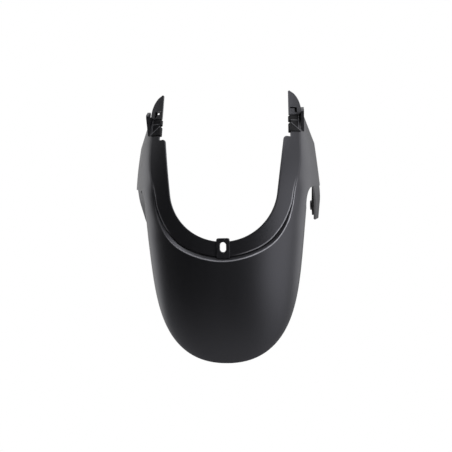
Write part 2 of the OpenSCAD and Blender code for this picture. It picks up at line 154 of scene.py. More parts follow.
def place(angle, length, distance):
    """X and Z of a point at a distance out from the throat's edge. The edge is followed first by the angle
    round its bend, then by the length up its straight arm."""
    x = length * np.sin(splay) + (throat_r + distance) * np.sin(angle)
    z = throat_c + length * np.cos(splay) - (throat_r + distance) * np.cos(angle)
    return x, z


def ridge_distance(angle, length):
    """Distance of the ridge from the throat's edge: 17.9 mm at the sides, 20.6 mm at the bottom and 2.9 mm
    more half way between, eased over 50 mm of arm to the ridge's straight line up the neck."""
    bend = flange_side_w + flange_more_w * np.cos(angle) ** 2 + flange_swell * np.sin(2 * angle) ** 4
    neck = (ridge_w - length * np.sin(splay)) / np.cos(splay) - throat_r
    return bend + (neck - bend) * ease(length / ridge_run)


def along(x, z):
    """Length up the arm, and distance out from its straight inner edge, of a point."""
    length = x * np.sin(splay) + (z - throat_c) * np.cos(splay)
    return length, x * np.cos(splay) - (z - throat_c) * np.sin(splay) - throat_r


low_l, low_d = along(arm_low_w, arm_low_z)
high_l, high_d = along(arm_high_w, arm_high_z)
end_l, end_d = along(neck_out_w, neck_top_z)
top_l, _ = along(neck_in_w, flange_top_z)


def skin_depth(x, z):
    """Depth of the outer skin: the arched flap, which eases between z = 10 and z = 60 into a side wall that
    falls back by 1.42 mm for each mm out from the ridge, with a crown between its two edges that is fuller
    from z = 80 down to the notch."""
    angle = np.minimum(np.arctan2(x, throat_c - z), bend_end)
    length = np.where(angle < bend_end, 0, x * np.sin(splay) + (z - throat_c) * np.cos(splay))
    out = (x - length * np.sin(splay)) * np.sin(angle)
    up = (z - throat_c - length * np.cos(splay)) * np.cos(angle)
    ridge = ridge_distance(angle, length)
    past = out - up - throat_r - ridge
    width = np.interp(length, [low_l, high_l, end_l], [low_d, high_d, end_d]) - ridge
    crown = wall_crown + low_crown * ease((low_crown_z - z) / low_crown_h)
    flat = flange_depth(*place(angle, length, ridge)) + wall_slope * past
    flat = flat + crown * (past ** 2 / width - past)
    share = ease((z - wall_from_z) / (wall_full_z - wall_from_z))
    return flap_depth(x, z) + (flat - flap_depth(x, z)) * share


def edge_w(z):
    """Half width at the outer edge: the flap, a quarter arch of the notch, then the wall's lower edge."""
    rise = np.clip((z - notch_low_z) / (notch_top_z - notch_low_z), 0, 1)
    past = np.maximum(0, z - notch_top_z) / (arm_low_z - notch_top_z)
    return lobe_w(z) + notch_w * (1 - np.sqrt(1 - rise ** 2)) + (arm_low_w - lobe_half_w - notch_w) * past


def outer_reach(angle, length):
    """Distance from the throat's edge to the outer edge. Below the wall's corner the stretch between the
    ridge and 240 mm is halved 26 times to find it, and above it the edge is two straight lines."""
    near = ridge_distance(angle, length)
    far = np.full_like(near, 240)
    for _ in range(26):
        middle = (near + far) / 2
        x, z = place(angle, length, middle)
        past = (z <= -lobe_tip_z) | (x > edge_w(z))
        near, far = np.where(past, near, middle), np.where(past, middle, far)
    upper = np.interp(length, [low_l, high_l, end_l], [low_d, high_d, end_d])
    return np.where(length < low_l - 0.02, near, upper)


def inner_start(length):
    """Distance from the throat's edge to the arm's real inner edge: nothing on the flange, a round corner,
    the square top, a small inside corner, and the neck's upright edge."""
    corner = np.maximum(0, length - top_l + flange_corner_r)
    past = np.maximum(0, neck_fillet_r - np.maximum(0, length - top_l))
    round_corner = flange_corner_r - np.sqrt(np.maximum(0, flange_corner_r ** 2 - corner ** 2))
    neck = (neck_in_w - length * np.sin(splay)) / np.cos(splay) - throat_r
    fillet = neck_fillet_r - np.sqrt(neck_fillet_r ** 2 - past ** 2)
    return np.where(length <= top_l, round_corner, neck - fillet)


def inward(depth, x, z):
    """Unit normal that points into the wall, from the slopes of a depth function."""
    step = 0.02
    slope_x = np.where(x < 1, 0, depth(x, z) - depth(x - step, z)) / step
    slope_z = (depth(x, z + step) - depth(x, z)) / step
    normal = np.stack([-slope_x, np.ones_like(slope_x), -slope_z], -1)
    return normal / np.linalg.norm(normal, axis=-1, keepdims=True)


def surface(depth, x, z):
    """Points of a surface from its depth function."""
    return np.stack(np.broadcast_arrays(x, depth(x, z), z), -1)


def as_right(grid):
    """A grid of points for the right side, which is the side that all of them are worked out for."""
    return grid


def mirrored(grid):
    """A grid of points for the left side: X changes sign, and the columns run the other way."""
    return grid[:, ::-1] * [-1, 1, 1]


def plate(name, front, back, keep=None, around=False, painted_highlight=None):
    """A closed plate between two grids of points in mm. A cell spans rows i and i + 1 and columns j and
    j + 1. Each kept cell is a quad on the front and one on the back, and has a wall wherever the next cell
    isn't kept. With around, the first row follows the last. The last grid, if given, says how strongly each
    front point gets a painted pale highlight line, from 0 to 1."""
    rows, columns = front.shape[:2]
    i, j = np.meshgrid(np.arange(rows if around else rows - 1), np.arange(columns - 1), indexing="ij")
    keep = np.ones(i.shape, bool) if keep is None else keep
    near = np.pad(keep, 1)
    if around:
        near[0] = near[-2]
        near[-1] = near[1]
    sides = [
        (keep, (0, 0, 0), (0, 1, 0), (1, 1, 0), (1, 0, 0)),
        (keep, (0, 0, 1), (1, 0, 1), (1, 1, 1), (0, 1, 1)),
        (keep & ~near[:-2, 1:-1], (0, 0, 0), (0, 0, 1), (0, 1, 1), (0, 1, 0)),
        (keep & ~near[2:, 1:-1], (1, 0, 0), (1, 1, 0), (1, 1, 1), (1, 0, 1)),
        (keep & ~near[1:-1, :-2], (0, 0, 0), (1, 0, 0), (1, 0, 1), (0, 0, 1)),
        (keep & ~near[1:-1, 2:], (0, 1, 0), (0, 1, 1), (1, 1, 1), (1, 1, 0)),
    ]
    corner = ((i, i + 1), (j, j + 1))
    faces = np.concatenate([np.stack([(corner[0][up] % rows * columns + corner[1][over]
                                       + side * rows * columns)[cells]
                                      for up, over, side in corners], -1) for cells, *corners in sides])
    used, faces = np.unique(faces, return_inverse=True)
    points = np.concatenate([front.reshape(-1, 3), back.reshape(-1, 3)])[used] / 1000
    mesh = bpy.data.meshes.new(name)
    mesh.from_pydata(points.tolist(), [], faces.reshape(-1, 4).tolist())
    mesh.shade_smooth()
    if painted_highlight is not None:
        amount = np.concatenate([painted_highlight.reshape(-1), np.zeros(painted_highlight.size)])[used]
        layer = mesh.attributes.new("painted_highlight", "FLOAT", "POINT")
        layer.data.foreach_set("value", amount.astype(np.float32))
    piece = bpy.data.objects.new(name, mesh)
    bpy.context.collection.objects.link(piece)
    return piece


def eased_edges(piece, width):
    """Rounds a piece's corners of more than 40 degrees, with a width in mm."""
    bevel = piece.modifiers.new("eased edges", "BEVEL")
    bevel.width = width / 1000
    bevel.segments = 2
    bevel.limit_method = "ANGLE"
    bevel.angle_limit = np.radians(40)
    bevel.harden_normals = True
    return piece


# Injection-moulded polypropylene, carbon black and unpainted: IOR 1.49, satin from the spark-eroded tool.
# The real grain is about 0.2 mm; it is drawn 1.2 mm coarse so that it shows at this size, and very shallow.
# Handling leaves it a little greyer and rougher in long vertical drifts. The pale lines along the step's
# crest and the groove's edge are painted highlights, stronger on the lit right side, and a little glossier.
def linear(code):
    """Linear colour of an sRGB hex value: below 0.04045 a twelfth, above it a power of 2.4."""
    value = np.array([int(code[k:k + 2], 16) / 255 for k in (1, 3, 5)])
    return (*np.where(value <= 0.04045, value / 12.92, ((value + 0.055) / 1.055) ** 2.4), 1)


def add(tree, kind, settings=None, inputs=None):
    """Adds a node, with its settings and with its inputs, each a value or the output that feeds it."""
    made = tree.nodes.new(kind)
    for name, value in (settings or {}).items():
        setattr(made, name, value)
    for name, value in (inputs or {}).items():
        if isinstance(value, bpy.types.NodeSocket):
            tree.links.new(value, made.inputs[name])
        else:
            made.inputs[name].default_value = value
    return made


def blank_material(name):
    """An empty material, its node tree and its output."""
    material = bpy.data.materials.new(name)
    material.use_nodes = True
    material.node_tree.nodes.clear()
    return material, material.node_tree, material.node_tree.nodes.new("ShaderNodeOutputMaterial")


def satin_polypropylene():
    material, tree, output = blank_material("satin_black_polypropylene")
    object_space = add(tree, "ShaderNodeTexCoord").outputs["Object"]
    grain = add(tree, "ShaderNodeTexNoise", None,
                {"Vector": object_space, "Scale": 1000 / 1.2, "Detail": 2.0})
    stretched = add(tree, "ShaderNodeMapping", None, {"Vector": object_space, "Scale": (1.0, 1.0, 0.25)})
    drift = add(tree, "ShaderNodeTexNoise", None,
                {"Vector": stretched.outputs["Vector"], "Scale": 1000 / 45, "Detail": 4.0,
                 "Roughness": 0.55})
    colour = add(tree, "ShaderNodeMix", {"data_type": "RGBA"},
                 {0: drift.outputs["Fac"], 6: linear("#161618"), 7: linear("#1c1c1e")})
    # Painted highlight: a pale grey is mixed in along the marked crest and groove lines, and the roughness
    # drops there
    painted_highlight = add(tree, "ShaderNodeAttribute", {"attribute_name": "painted_highlight"})
    colour = add(tree, "ShaderNodeMix", {"data_type": "RGBA"},
                 {0: painted_highlight.outputs["Fac"], 6: colour.outputs[2], 7: linear("#d0d0d8")}).outputs[2]
    rough = add(tree, "ShaderNodeMapRange", None,
                {"Value": drift.outputs["Fac"], "From Min": 0.3, "From Max": 0.7,
                 "To Min": 0.35, "To Max": 0.41})
    rough = add(tree, "ShaderNodeMath", {"operation": "MULTIPLY_ADD"},
                {0: painted_highlight.outputs["Fac"], 1: -0.17, 2: rough.outputs["Result"]})
    bump = add(tree, "ShaderNodeBump", None,
               {"Strength": 0.12, "Distance": 0.0004, "Height": grain.outputs["Fac"]})
    shader = add(tree, "ShaderNodeBsdfPrincipled", None,
                 {"Base Color": colour, "Roughness": rough.outputs[0], "IOR": 1.49,
                  "Specular Tint": linear("#f1f1fd"), "Normal": bump.outputs["Normal"]})
    tree.links.new(shader.outputs["BSDF"], output.inputs["Surface"])
    return material


polypropylene = satin_polypropylene()


def shade_painted_polypropylene():
    """A darker, matt copy of the same plastic, with little reflection and a coarser grain drawn 1.5 mm
    coarse, that paints shade on the webs between ears and necks and behind the lug straps."""
    material, tree, output = blank_material("shade_painted_black_polypropylene")
    object_space = add(tree, "ShaderNodeTexCoord").outputs["Object"]
    grain = add(tree, "ShaderNodeTexNoise", None,
                {"Vector": object_space, "Scale": 1000 / 1.5, "Detail": 3.0})
    colour = add(tree, "ShaderNodeMix", {"data_type": "RGBA"},
                 {0: grain.outputs["Fac"], 6: linear("#0e0e0f"), 7: linear("#161617")})
    bump = add(tree, "ShaderNodeBump", None,
               {"Strength": 0.2, "Distance": 0.0004, "Height": grain.outputs["Fac"]})
    shader = add(tree, "ShaderNodeBsdfPrincipled", None,
                 {"Base Color": colour.outputs[2], "Roughness": 0.8, "IOR": 1.49,
                  "Specular IOR Level": 0.2, "Normal": bump.outputs["Normal"]})
    tree.links.new(shader.outputs["BSDF"], output.inputs["Surface"])
    return material


shade_painted_plastic = shade_painted_polypropylene()


def mould(piece, finish=polypropylene):
    """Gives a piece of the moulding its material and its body."""
    piece.data.materials.append(finish)
    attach(piece, "root")
    return piece


def skin_half():
    """Front and back points of the right half and how near they are to the two lines that get a painted
    highlight, one row for each station along the throat's edge. A row runs from the throat's rounded edge
    over the flange, the fine groove and the step to the rounded rim. The step narrows up the arms as it dies
    away."""
    up_arm = np.concatenate([
        low_l * np.sin(np.linspace(0, np.pi / 2, 25))[1:],
        np.linspace(low_l, top_l - flange_corner_r, 61)[1:],
        top_l - flange_corner_r * (1 - np.sin(np.linspace(0, np.pi / 2, 13)))[1:],
        top_l + 0.02 + neck_fillet_r * (1 - np.cos(np.linspace(0, np.pi / 2, 7))),
        np.linspace(top_l + 0.02 + neck_fillet_r, end_l, 31)[1:]])
    round_bend = np.linspace(0, bend_end, 97)
    angle = np.concatenate([round_bend, np.full_like(up_arm, bend_end)])[:, None]
    length = np.concatenate([np.zeros_like(round_bend), up_arm])[:, None]
    start = inner_start(length)
    ridge = ridge_distance(angle, length)
    ridge_z = place(angle, length, ridge)[1]
    narrowed = np.clip((ridge_z - step_full_z) / (step_top_z - step_full_z), 0, 1)
    foot = ridge - step_w + (step_w - step_top_w) * narrowed
    fade = 1 - ease((ridge_z - trim_full_z) / (trim_end_z - trim_full_z))
    reach = outer_reach(angle, length)
    turn = np.linspace(0, np.pi / 2, 4)

    # The flange, flat apart from the groove's quarter round, and its plain back
    across = start + edge_r + (foot - groove_w - start - edge_r) * (1 - np.linspace(1, 0, 13)[1:] ** 1.5)
    dip = np.linspace(0, 1, 6)[1:]
    distance = np.concatenate([start + edge_r - edge_r * np.cos(turn), across,
                               foot - groove_w * (1 - dip)], 1)
    past = [distance - ridge]
    sunk = np.concatenate([edge_r - edge_r * np.sin(turn), np.zeros(12), np.zeros(5)])[None, :, None]
    x, z = place(angle, length, distance)
    lap = surface(flange_depth, x, z)
    into = inward(flange_depth, x, z)
    lap_front = lap + sunk * into
    lap_back = lap + (wall - sunk) * into
    flush = ease((ridge_z - wall_from_z) / (wall_full_z - wall_from_z))
    lap_front[:, -5:, 1] += groove_d * fade * (1 - np.cos(np.pi / 2 * dip))

    # The skin beyond the ridge, which is rounded where the side wall leaves it
    past_ridge = np.array([0.0, 0.4, 0.8, 1.4])
    over = np.sin(np.linspace(0, np.pi / 2, 33))[1:]
    wide = ridge + past_ridge[-1] + (reach - edge_r - ridge - past_ridge[-1]) * over
    distance = np.concatenate([ridge + past_ridge, wide, reach - edge_r + edge_r * np.sin(turn[1:])], 1)
    sunk = np.concatenate([np.zeros(36), edge_r - edge_r * np.cos(turn[1:])])[None, :, None]
    x, z = place(angle, length, distance)
    skin = surface(skin_depth, x, z)
    skin[..., 1] += 0.5 * flush * np.maximum(0, ridge_r - (distance - ridge)) ** 2 / (4 * ridge_r)
    past.append(distance - ridge)
    into = inward(skin_depth, x, z)
    skin_front = skin + sunk * into
    skin_back = skin + (wall - sunk) * into

    # The step between them: it climbs straight to 0.65 of its width, then rounds over to its crest
    climb = np.linspace(0, 1, 15)[1:-1]
    lift = 2 / (1 + step_straight)
    rounded = 1 - (1 - climb) ** 2 * lift / (2 * (1 - step_straight))
    profile = np.where(climb < step_straight, lift * climb, rounded)
    distance = foot + step_w * climb
    x, z = place(angle, length, distance)
    raised = lap_front[:, -1:, 1] + (skin_front[:, :1, 1] - lap_front[:, -1:, 1]) * profile
    flat = flange_depth(x, z) + 0.5 * np.maximum(0, ridge_r - (ridge - distance)) ** 2 / (4 * ridge_r)
    step_front = np.stack([x, raised + (flat - raised) * flush, z], -1)
    step_back = lap_back[:, -1:] + (skin_back[:, :1] - lap_back[:, -1:]) * climb[None, :, None]
    past.insert(1, distance - ridge)
    past = np.concatenate(past, 1)

    # A fine lip on the crest, and the two lines that get a painted highlight: the crest and the groove's
    # flange edge
    front = np.concatenate([lap_front, step_front, skin_front], 1)
    crest = fade * np.exp(-(past / lip_half_w) ** 2)
    front[..., 1] -= lip_h * crest
    groove_edge_highlight = fade * np.exp(-((past - foot + ridge + groove_w) / highlight_half_w) ** 2)
    back = np.concatenate([lap_back, step_back, skin_back], 1)
    return front, back, np.stack([crest, groove_edge_highlight], -1)


def whole(half):
    """Both halves: the mirrored rows from the left arm's top down to the middle, then the right half's."""
    return np.concatenate([half[:0:-1] * ([-1, 1, 1] if half.shape[-1] == 3 else 1), half])


# The crest's painted highlight is full on the right, the lit side, half as strong from the middle to the left
# and faint up the left arm. The groove's edge gets a painted highlight on the right, and a little up the left
# arm.
skin_front, skin_back, skin_highlight_lines = [whole(half) for half in skin_half()]
rightwards = skin_front[..., 0]
crest_highlight_paint = (0.53 + 0.47 * ease((rightwards - 8) / 25)) * (1 - 0.9 * ease((-rightwards - 52) / 14))
groove_edge_highlight_paint = 0.65 * ease((rightwards - 5) / 30) + 0.37 * ease((-rightwards - 54) / 10)
skin_painted_highlight = skin_highlight_lines[..., 0] * crest_highlight_paint + skin_highlight_lines[..., 1] * groove_edge_highlight_paint
middle = (skin_front[1:, 1:] + skin_front[:-1, :-1]) / 2
under_tab = (np.abs(middle[..., 0]) < tab_open_w) & (middle[..., 2] > tab_open_z)
skin = mould(plate("mudguard_skin", skin_front, skin_back, ~under_tab, painted_highlight=skin_painted_highlight))
skin.data.set_sharp_from_angle(angle=np.radians(38))
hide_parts("mudguard_shell")

# Centre tab: a flat pad moulded on the bottom of the flange, with the upright slot that an M6 screw passes
# through. The skin is left open behind the pad, whose ring closes it.
slot_r = 3.3
slot_run = 1.95
tab_half_w = 7
tab_up_h = 9.5
tab_down_h = 12
tab_t = 4.5
tab_square = 9
half_turn = np.linspace(0, np.pi, 25)
around_slot = np.concatenate([half_turn, half_turn + np.pi])[:, None]
end = np.repeat([slot_run, -slot_run], 25)[:, None]


def tab_ring(depth):
    """A ring from the slot's edge, two half circles, to a square with round corners, a superellipse of power
    9 that is 14 mm wide and goes 9.5 mm up and 12 mm down from the slot's centre."""
    c, s = np.cos(around_slot), np.sin(around_slot)
    stretch = (np.abs(c) ** tab_square + np.abs(s) ** tab_square) ** (-1 / tab_square)
    half_h = np.where(s > 0, tab_up_h, tab_down_h) - slot_run
    over = np.array([0, 0.4, 0.75, 1])
    x = slot_r * c + (tab_half_w * c * stretch - slot_r * c) * over
    z = end + slot_r * s + (half_h * s * stretch - slot_r * s) * over
    return np.stack([x, np.full_like(x, depth), z], -1)


tab = mould(plate("centre_tab", tab_ring(0), tab_ring(tab_t), around=True))
eased_edges(tab, 0.45)

# Tongues: a pointed plate on each neck that guides the lapped front half, 1.2 mm proud of it, with an
# L-shaped slot through which the spring clip's upright tab latches. The left one is open below its slot.
tongue_w = 14.4
tongue_proud = 1.2
tongue_foot_proud = 1.8
tongue_low_z = 144.5
tongue_wide_z = 149
tongue_draw_z = 157
tongue_top_z = shell_high[2]
tongue_tip_r = 1.2
tongue_in_w = neck_in_w - 2.2
latch_z = tongue_low_z + 2.7
latch_up_h = 5.2
latch_top_h = 6.8
latch_in_w = 1.8
latch_turn_w = 7
latch_out_w = 9.6
window_in_w = 3.8
window_out_w = 8.7
window_low_h = 3.1


def tongue_reach(z):
    """Width of the tongue: 14.4 mm, times a superellipse's fall to the tip over its taper."""
    taper = np.maximum(0, z - tongue_wide_z) / (tongue_top_z - tongue_wide_z)
    return tongue_w * np.maximum(0.05, 1 - taper ** 2) ** 0.58


def tongue_grids():
    """Front and back points of the right tongue, and the cells of its slot and of the window below it. Up
    to z = 157 the columns as far as the slot's outer side keep their places, so that the slot's sides are
    straight, and above it all of them draw together with the outline."""
    taper = tongue_draw_z + (tongue_top_z - tongue_draw_z) * np.sin(np.linspace(0, np.pi / 2, 18))
    z = np.concatenate([tongue_low_z + np.array([0, 0.6, 1.2, 1.3]),
                        latch_z + np.linspace(0, latch_up_h, 6), latch_z + np.array([6, latch_top_h]),
                        [tongue_draw_z - 1.5], taper])[:, None]
    out = np.concatenate([[0, 0.9], np.linspace(latch_in_w, latch_turn_w, 6), [7.9, 8.7, latch_out_w],
                          [10.8, 12, 13.2, tongue_w]])
    drawn = (tongue_reach(z) - latch_out_w) * (out - latch_out_w) / (tongue_w - latch_out_w)
    fixed = np.where(out <= latch_out_w, out, latch_out_w + drawn)
    together = tongue_reach(z) * fixed[z[:, 0] == tongue_draw_z] / tongue_reach(tongue_draw_z)
    x = tongue_in_w + np.where(z <= tongue_draw_z, fixed, together)
    rise = np.maximum(0, z - tongue_top_z + tongue_tip_r)
    x = x + (tongue_tip_r - np.sqrt(tongue_tip_r ** 2 - rise ** 2)) * (1 - out / tongue_w)
    flat = surface(flange_depth, x, z + 0 * x)
    foot = np.where(z > tongue_low_z, tongue_foot_proud, 1.1)
    proud = np.where(z > tongue_low_z + 1.2, tongue_proud, foot)
    front = flat - np.stack([0 * x, proud + 0 * x, 0 * x], -1)
    s, h = np.meshgrid((out[1:] + out[:-1]) / 2, (z[1:, 0] + z[:-1, 0]) / 2 - latch_z)
    upright = (s > latch_turn_w) & (s < latch_out_w) & (h > 0) & (h < latch_up_h)
    level = (s > latch_in_w) & (s < latch_out_w) & (h > latch_up_h) & (h < latch_top_h)
    window = (s > window_in_w) & (s < window_out_w) & (h > window_low_h) & (h < latch_up_h)
    return front, flat + [0, wall + 0.2, 0], upright | level, window


tongue_front, tongue_back, latch, window = tongue_grids()
right_tongue = plate("tongue_right", tongue_front, tongue_back, ~latch)
left_tongue = plate("tongue_left", mirrored(tongue_front), mirrored(tongue_back),
                    ~(latch | window)[:, ::-1])
for tongue in (right_tongue, left_tongue):
    eased_edges(mould(tongue), 0.35)

# Ears: a thin fin on the outer edge of each neck that steadies the fairing beside it. It leans forward in a
# belly below its round top, and a gusset and a web tie it to the neck; the web is in the darker matt copy
# of the plastic, which paints the shade there.
ear_t = 3.2
ear_low_z = neck_top_z - 21
ear_belly_z = neck_top_z - 1
ear_tip_z = neck_top_z + 4
ear_round_z = neck_top_z + 2.5
ear_y = skin_depth(neck_out_w, ear_low_z) - 1.2
ear_lean = 4.9
ear_foot_r = 3
ear_belly_r = 3.6
ear_tip_r = 2
gusset_top_z = neck_top_z - 5
ear_web_t = 1.6


def ear_grid(x):
    """The ear's side: between its front and back edges, the envelope of a circle that travels up from the
    ear's foot to its belly and its tip, with radii of 3, 3.6 and 2 mm."""
    round_top = (ear_tip_z + ear_tip_r - ear_round_z) * np.sin(np.linspace(0, 1.54, 10))[1:]
    z = np.concatenate([np.linspace(ear_low_z, ear_round_z, 20), ear_round_z + round_top])
    t = np.linspace(0, 2, 401)[:, None]
    centre_y = np.interp(t, [0, 1, 2], [ear_y + ear_foot_r, ear_y - ear_lean, ear_y + 1])
    centre_z = np.interp(t, [0, 1, 2], [ear_low_z, ear_belly_z, ear_tip_z])
    radius = np.interp(t, [0, 1, 2], [ear_foot_r, ear_belly_r, ear_tip_r])
    half = np.sqrt(np.maximum(0, radius ** 2 - (z - centre_z) ** 2))
    inside = np.abs(z - centre_z) < radius
    front = np.where(inside, centre_y - half, np.inf).min(0)
    back = np.where(inside, centre_y + half, -np.inf).max(0)
    y = front[:, None] + (back - front)[:, None] * np.linspace(0, 1, 7)
    return np.stack([np.full_like(y, x), y, z[:, None] + 0 * y], -1)


def gusset_grid(x):
    """The gusset's side: bilinear between the ear's foot and the line from the ear to the neck's edge."""
    v, w = np.linspace(0, 1, 8)[:, None], np.linspace(0, 1, 5)
    low = ear_y + 0.5 + 5 * w
    high = ear_y + 1 + (skin_depth(neck_out_w, gusset_top_z - 1.0) - ear_y) * w
    y = low + (high - low) * v
    z = ear_low_z + (gusset_top_z - 1.5 * w - ear_low_z) * v
    return np.stack([np.full_like(y, x), y, z], -1)


def ear_web_grid(behind):
    """The web from the neck's ridge to the ear: straight lines between two curves, with a slanted top."""
    v, w = np.linspace(0, 1, 8)[:, None], np.linspace(0, 1, 5)
    z = ear_low_z + 1 + (neck_top_z + 1.5 - 1.5 * w - ear_low_z - 1) * v
    x = ridge_w + 0.6 + (neck_out_w - 0.8 - ridge_w - 0.6) * w
    ridge_y = flange_depth(ridge_w + 0.6, z) + 1.1
    return np.stack([x + 0 * z, ridge_y + (ear_y + 0.5 - 5 * v - ridge_y) * w + behind, z], -1)


web = [ear_web_grid(behind) for behind in (0, ear_web_t)]
# The ear webs take the darker matt copy of the plastic, which paints shade between ear and neck
for piece in (plate("ear_web_right", *web), plate("ear_web_left", *[mirrored(grid) for grid in web])):
    eased_edges(mould(piece, shade_painted_plastic), 0.3)
for name, grid, inset, width in (("ear", ear_grid, 0, 0.45), ("gusset", gusset_grid, 0.35, 0.4)):
    outer, inner = grid(neck_out_w - inset), grid(neck_out_w - ear_t + inset)
    eased_edges(mould(plate(f"{name}_right", outer, inner)), width)
    eased_edges(mould(plate(f"{name}_left", mirrored(outer), mirrored(inner))), width)

# Side lugs: a strap that leaves the side wall's lower corner and twists back round the wheel, with a web
# behind it that carries the boss and the plain hole for an M6 screw.
lug_out_x = arm_low_w - 0.8
lug_in_x = arm_low_w - 8
lug_out_z = arm_low_z + 4.0
lug_in_z = notch_top_z + 1.5
lug_root_y = skin_depth(lug_out_x - 1, lug_out_z) + 0.78
lug_reach = 46
lug_drop = 35
lug_tip_w = 4.5
lug_end = np.array([arm_low_w - 2.2, lug_root_y + lug_reach, arm_low_z - lug_drop])
strap_fore = np.array([0, 5, 0.8])
strap_root_t = 1.7
web_w = 11
web_t = 2.8
hole_r = 3.3
boss_t = 4.8
boss_in_r = 5.4
boss_out_r = 6.5


def bow(points, t):
    """A curve of one bend through its first and last points, drawn towards the middle one."""
    a, b, c = np.array(points)
    t = np.asarray(t)[..., None]
    return a * (1 - t) ** 2 + b * 2 * t * (1 - t) + c * t ** 2


def lug_outer(t):
    """Outer edge of the strap."""
    root = [lug_out_x, skin_depth(lug_out_x, lug_out_z) + 0.3, lug_out_z]
    return bow([root, [lug_out_x, lug_root_y + lug_reach / 3, arm_low_z - 6], lug_end], t)


def lug_fore(t, spread):
    """Front line of the strap, ahead of its inner edge, so that the strap stays in line with the wall, and
    spread inwards by some millimetres."""
    return lug_inner(t) - strap_fore * np.asarray(t)[..., None] - [spread, 0, 0]


def lug_inner(t):
    """Inner edge of the strap."""
    root = [lug_in_x, skin_depth(lug_in_x, lug_in_z) + 0.3, lug_in_z]
    return bow([root, [lug_in_x + 0.6, lug_root_y + lug_reach / 5, arm_low_z - 8],
                lug_end - [lug_tip_w, 0, 1.5]], t)


def strap_grids(spread):
    """Back and front points of the strap, 2.5 mm thick: straight lines between its edges, sunk in the side
    wall at its root and coming forward to 2.5 mm in front of them. The left one is spread a little
    broader."""
    t = np.linspace(0, 1, 31)
    inner, outer = lug_fore(t, spread), lug_outer(t)
    run = np.gradient(inner + outer, axis=0)
    ahead = np.cross(run, outer - inner)
    ahead = ahead / np.linalg.norm(ahead, axis=-1, keepdims=True)
    line = inner[:, None] + (outer - inner)[:, None] * np.linspace(0, 1, 6)[None, :, None]
    grown = ease(1.6 * t)[:, None, None]
    front = line + (-0.2 + (wall + 0.2) * grown) * ahead[:, None]
    return front - (strap_root_t + (wall - strap_root_t) * grown) * ahead[:, None], front


def lug_up(distance):
    """Place on the strap's curve at a distance up from its lower end."""
    return 1 - 0.1 * distance / np.linalg.norm(lug_inner(1.0) - lug_inner(0.9))


def web_out(t):
    """Direction away from the strap's edge, back and up."""
    run = lug_inner(t + 0.01) - lug_inner(t - 0.01)
    out = np.stack([0 * run[..., 0], -run[..., 2], run[..., 1]], -1)
    return out / np.linalg.norm(out, axis=-1, keepdims=True)


hole = 1000 * np.array([mount["pos_m"] for mount in frame["record"]["mounts"]
                        if mount["name"] == "lug_hole_right"][0])
boss_x = hole[0] - boss_t / 2
web_run = lug_up(10.5) * np.linspace(0, 1, 33)


def web_grid(spread):
    """The web's inner side: straight lines out from a start inside the strap, which moves forward along it,
    to 11 mm behind its inner edge. Where it meets the side wall it stays 1 mm behind the wall's skin."""
    start = 3.2 - 7 * web_run + spread * (0.35 - 0.47 * web_run)
    offset = web_w + (start[:, None] - web_w) * np.linspace(1, 0, 13)
    line = lug_inner(web_run)[:, None] - [1.7, 0, 0] + web_out(web_run)[:, None] * offset[..., None]
    line[..., 1] = np.maximum(line[..., 1], skin_depth(line[..., 0] + web_t, line[..., 2]) + 1)
    return line


def boss_ring(x, outer_r):
    """A ring round the hole, from its edge of radius 3.3 mm out to the boss's own edge."""
    angle = np.linspace(0, 2 * np.pi, 48, endpoint=False)[:, None]
    radius = hole_r + (outer_r - hole_r) * np.array([0, 0.5, 1])
    y = hole[1] + radius * np.sin(angle)
    return np.stack(np.broadcast_arrays(x, y, hole[2] + radius * np.cos(angle)), -1)


for side, spread, flip in (("right", 0, as_right), ("left", 3.4, mirrored)):
    back, front = strap_grids(spread)
    eased_edges(mould(plate(f"lug_strap_{side}", flip(back), flip(front))), 0.5)
    inner, outer = flip(web_grid(spread)), flip(web_grid(spread) + [web_t, 0, 0])
    middle = (inner[1:, 1:] + inner[:-1, :-1]) / 2
    off_hole = np.linalg.norm((middle - hole)[..., 1:], axis=-1) > 5
    # The lug web takes the darker matt copy of the plastic, which paints the shade behind the strap
    eased_edges(mould(plate(f"lug_web_{side}", inner, outer, off_hole), shade_painted_plastic), 0.3)
    rings = [flip(boss_ring(boss_x, boss_in_r)), flip(boss_ring(boss_x + boss_t, boss_out_r))]
    eased_edges(mould(plate(f"lug_boss_{side}", *rings, around=True)), 0.4)

# Spring clips: 0.8 mm spring steel folded round the neck's inner edge, black with a phosphate coat. Each
# has two loops, a back leaf with an upright tab behind the tongue's slot, and a front leaf with a sloping
# fold, with highlights painted pale along its folds. They are pushed on over the neck and held by their own
# grip.
clip_t = 0.8
clip_gap = 0.2
clip_low_z = flange_top_z + 6
clip_top_z = tongue_low_z - 1
clip_slope_z = clip_low_z + 10
clip_slope = 0.9
loop_low_h = 9.5
loop_gap_h = 3
leaf_raised = 0.35
leaf_fold_z = 137.4
back_leaf = 9.9


def clip_at(s, v, z):
    """A point at a distance s out from the neck's inner edge and v behind the neck's front face."""
    x = neck_in_w + s
    return surface(flange_depth, x, z + 0 * x) + v[..., None] * inward(flange_depth, x, z + 0 * x)


def clip_fold(z, out):
    """The clip's folded line at each height: the back leaf inwards, then a half turn round the edge."""
    radius = 1 + out
    turn = np.linspace(0, np.pi / 2, 9)
    leaf = np.array([back_leaf, 6.3, 4.2, 2.1, 0])
    round_edge = -0.3 - radius * np.sin(turn)
    behind, before = wall + clip_gap + out, -clip_gap - out
    sag = radius - radius * np.cos(turn)
    s = np.concatenate([leaf, round_edge, round_edge[-2::-1], [0]])
    v = np.concatenate([np.full(5, behind), behind - sag, (before + sag)[-2::-1], [before]])
    return clip_at(s + 0 * z, v + 0 * z, z)


def clip_leaf(z, s, out):
    """The clip's front leaf, at distances s out from the neck's inner edge."""
    return clip_at(s + 0 * z, np.full_like(s + 0 * z, -clip_gap - out), z)


